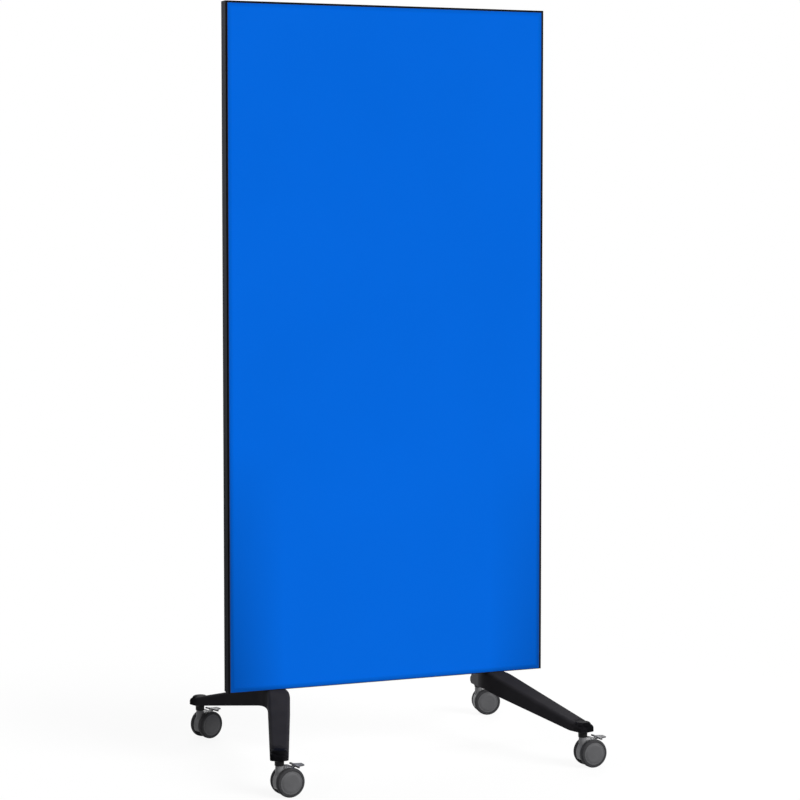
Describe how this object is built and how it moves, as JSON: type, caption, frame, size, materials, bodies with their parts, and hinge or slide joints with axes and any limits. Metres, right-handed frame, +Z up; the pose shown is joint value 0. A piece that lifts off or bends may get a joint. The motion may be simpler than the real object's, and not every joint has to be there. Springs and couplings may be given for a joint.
{
  "type": "mobile glass whiteboard",
  "caption": "Tall mobile whiteboard with blue glass writing faces in a slim black frame, standing on V-shaped feet with braked twin-wheel swivel casters.",
  "frame": {"origin": "on the floor, below the middle of the board", "axes": "+Z up, +X to the right along the width of the board seen from its front, the front glass faces -Y"},
  "size_m": [0.9353, 0.755, 1.998],
  "materials": {
    "blue_glass": "gloss, painted on the back",
    "steel_sheet": "plain",
    "honeycomb_core": "matte",
    "black_frame": "black anodised",
    "black_plastic": "matte",
    "plain_steel": "zinc plated",
    "foot_paint": "satin powder coat",
    "black_collar": "black",
    "hood_plastic": "satin",
    "pedal_plastic": "satin",
    "wheel_plastic": "matte",
    "tread_rubber": "matte",
    "cover_plastic": "satin"
  },
  "bodies": {
    "board": {"front_glass": "blue_glass", "rear_glass": "blue_glass", "front_steel_sheet": "steel_sheet", "rear_steel_sheet": "steel_sheet", "core_panel": "honeycomb_core", "left_stile": "black_frame", "right_stile": "black_frame", "top_rail": "black_frame", "bottom_rail": "black_frame", "corner_keys": "black_plastic", "nut_plates": "plain_steel", "foot_bolts": "plain_steel", "left_foot": "foot_paint", "right_foot": "foot_paint", "stem_sockets": "black_plastic", "caster_stems": "black_collar", "grip_rings": "plain_steel"},
    "front_left_swivel": {"front_left_hood": "hood_plastic", "front_left_axle": "plain_steel", "front_left_pedal_pin": "plain_steel"},
    "front_left_pedal": {"front_left_brake_pedal": "pedal_plastic"},
    "front_left_near_wheel": {"front_left_near_wheel_core": "wheel_plastic", "front_left_near_wheel_tread": "tread_rubber", "front_left_near_wheel_cover": "cover_plastic"},
    "front_left_far_wheel": {"front_left_far_wheel_core": "wheel_plastic", "front_left_far_wheel_tread": "tread_rubber", "front_left_far_wheel_cover": "cover_plastic"},
    "rear_left_swivel": {"rear_left_hood": "hood_plastic", "rear_left_axle": "plain_steel", "rear_left_pedal_pin": "plain_steel"},
    "rear_left_pedal": {"rear_left_brake_pedal": "pedal_plastic"},
    "rear_left_near_wheel": {"rear_left_near_wheel_core": "wheel_plastic", "rear_left_near_wheel_tread": "tread_rubber", "rear_left_near_wheel_cover": "cover_plastic"},
    "rear_left_far_wheel": {"rear_left_far_wheel_core": "wheel_plastic", "rear_left_far_wheel_tread": "tread_rubber", "rear_left_far_wheel_cover": "cover_plastic"},
    "front_right_swivel": {"front_right_hood": "hood_plastic", "front_right_axle": "plain_steel", "front_right_pedal_pin": "plain_steel"},
    "front_right_pedal": {"front_right_brake_pedal": "pedal_plastic"},
    "front_right_near_wheel": {"front_right_near_wheel_core": "wheel_plastic", "front_right_near_wheel_tread": "tread_rubber", "front_right_near_wheel_cover": "cover_plastic"},
    "front_right_far_wheel": {"front_right_far_wheel_core": "wheel_plastic", "front_right_far_wheel_tread": "tread_rubber", "front_right_far_wheel_cover": "cover_plastic"},
    "rear_right_swivel": {"rear_right_hood": "hood_plastic", "rear_right_axle": "plain_steel", "rear_right_pedal_pin": "plain_steel"},
    "rear_right_pedal": {"rear_right_brake_pedal": "pedal_plastic"},
    "rear_right_near_wheel": {"rear_right_near_wheel_core": "wheel_plastic", "rear_right_near_wheel_tread": "tread_rubber", "rear_right_near_wheel_cover": "cover_plastic"},
    "rear_right_far_wheel": {"rear_right_far_wheel_core": "wheel_plastic", "rear_right_far_wheel_tread": "tread_rubber", "rear_right_far_wheel_cover": "cover_plastic"}
  },
  "joints": [
    {"name": "front_left_swivel_turn", "type": "hinge", "parent": "board", "child": "front_left_swivel", "pos_m": [-0.42, -0.342, 0.079], "axis": [0, 0, 1], "continuous": true},
    {"name": "front_left_near_wheel_roll", "type": "hinge", "parent": "front_left_swivel", "child": "front_left_near_wheel", "pos_m": [-0.39808, -0.34008, 0.0375], "axis": [-0.0872, 0.9962, 0], "continuous": true},
    {"name": "front_left_far_wheel_roll", "type": "hinge", "parent": "front_left_swivel", "child": "front_left_far_wheel", "pos_m": [-0.39808, -0.34008, 0.0375], "axis": [-0.0872, 0.9962, 0], "continuous": true},
    {"name": "front_left_pedal_tip", "type": "hinge", "parent": "front_left_swivel", "child": "front_left_pedal", "pos_m": [-0.39509, -0.33982, 0.068], "axis": [-0.0872, 0.9962, 0], "range_deg": [0, 10]},
    {"name": "rear_left_swivel_turn", "type": "hinge", "parent": "board", "child": "rear_left_swivel", "pos_m": [-0.42, 0.342, 0.079], "axis": [0, 0, 1], "continuous": true},
    {"name": "rear_left_near_wheel_roll", "type": "hinge", "parent": "rear_left_swivel", "child": "rear_left_near_wheel", "pos_m": [-0.39933, 0.34952, 0.0375], "axis": [-0.342, 0.9397, 0], "continuous": true},
    {"name": "rear_left_far_wheel_roll", "type": "hinge", "parent": "rear_left_swivel", "child": "rear_left_far_wheel", "pos_m": [-0.39933, 0.34952, 0.0375], "axis": [-0.342, 0.9397, 0], "continuous": true},
    {"name": "rear_left_pedal_tip", "type": "hinge", "parent": "rear_left_swivel", "child": "rear_left_pedal", "pos_m": [-0.39651, 0.35055, 0.068], "axis": [-0.342, 0.9397, 0], "range_deg": [0, 10]},
    {"name": "front_right_swivel_turn", "type": "hinge", "parent": "board", "child": "front_right_swivel", "pos_m": [0.42, -0.342, 0.079], "axis": [0, 0, 1], "continuous": true},
    {"name": "front_right_near_wheel_roll", "type": "hinge", "parent": "front_right_swivel", "child": "front_right_near_wheel", "pos_m": [0.44199, -0.34123, 0.0375], "axis": [-0.0349, 0.9994, 0], "continuous": true},
    {"name": "front_right_far_wheel_roll", "type": "hinge", "parent": "front_right_swivel", "child": "front_right_far_wheel", "pos_m": [0.44199, -0.34123, 0.0375], "axis": [-0.0349, 0.9994, 0], "continuous": true},
    {"name": "front_right_pedal_tip", "type": "hinge", "parent": "front_right_swivel", "child": "front_right_pedal", "pos_m": [0.44499, -0.34113, 0.068], "axis": [-0.0349, 0.9994, 0], "range_deg": [0, 10]},
    {"name": "rear_right_swivel_turn", "type": "hinge", "parent": "board", "child": "rear_right_swivel", "pos_m": [0.42, 0.342, 0.079], "axis": [0, 0, 1], "continuous": true},
    {"name": "rear_right_near_wheel_roll", "type": "hinge", "parent": "rear_right_swivel", "child": "rear_right_near_wheel", "pos_m": [0.44167, 0.33818, 0.0375], "axis": [0.1736, 0.9848, 0], "continuous": true},
    {"name": "rear_right_far_wheel_roll", "type": "hinge", "parent": "rear_right_swivel", "child": "rear_right_far_wheel", "pos_m": [0.44167, 0.33818, 0.0375], "axis": [0.1736, 0.9848, 0], "continuous": true},
    {"name": "rear_right_pedal_tip", "type": "hinge", "parent": "rear_right_swivel", "child": "rear_right_pedal", "pos_m": [0.44462, 0.33766, 0.068], "axis": [0.1736, 0.9848, 0], "range_deg": [0, 10]}
  ]
}
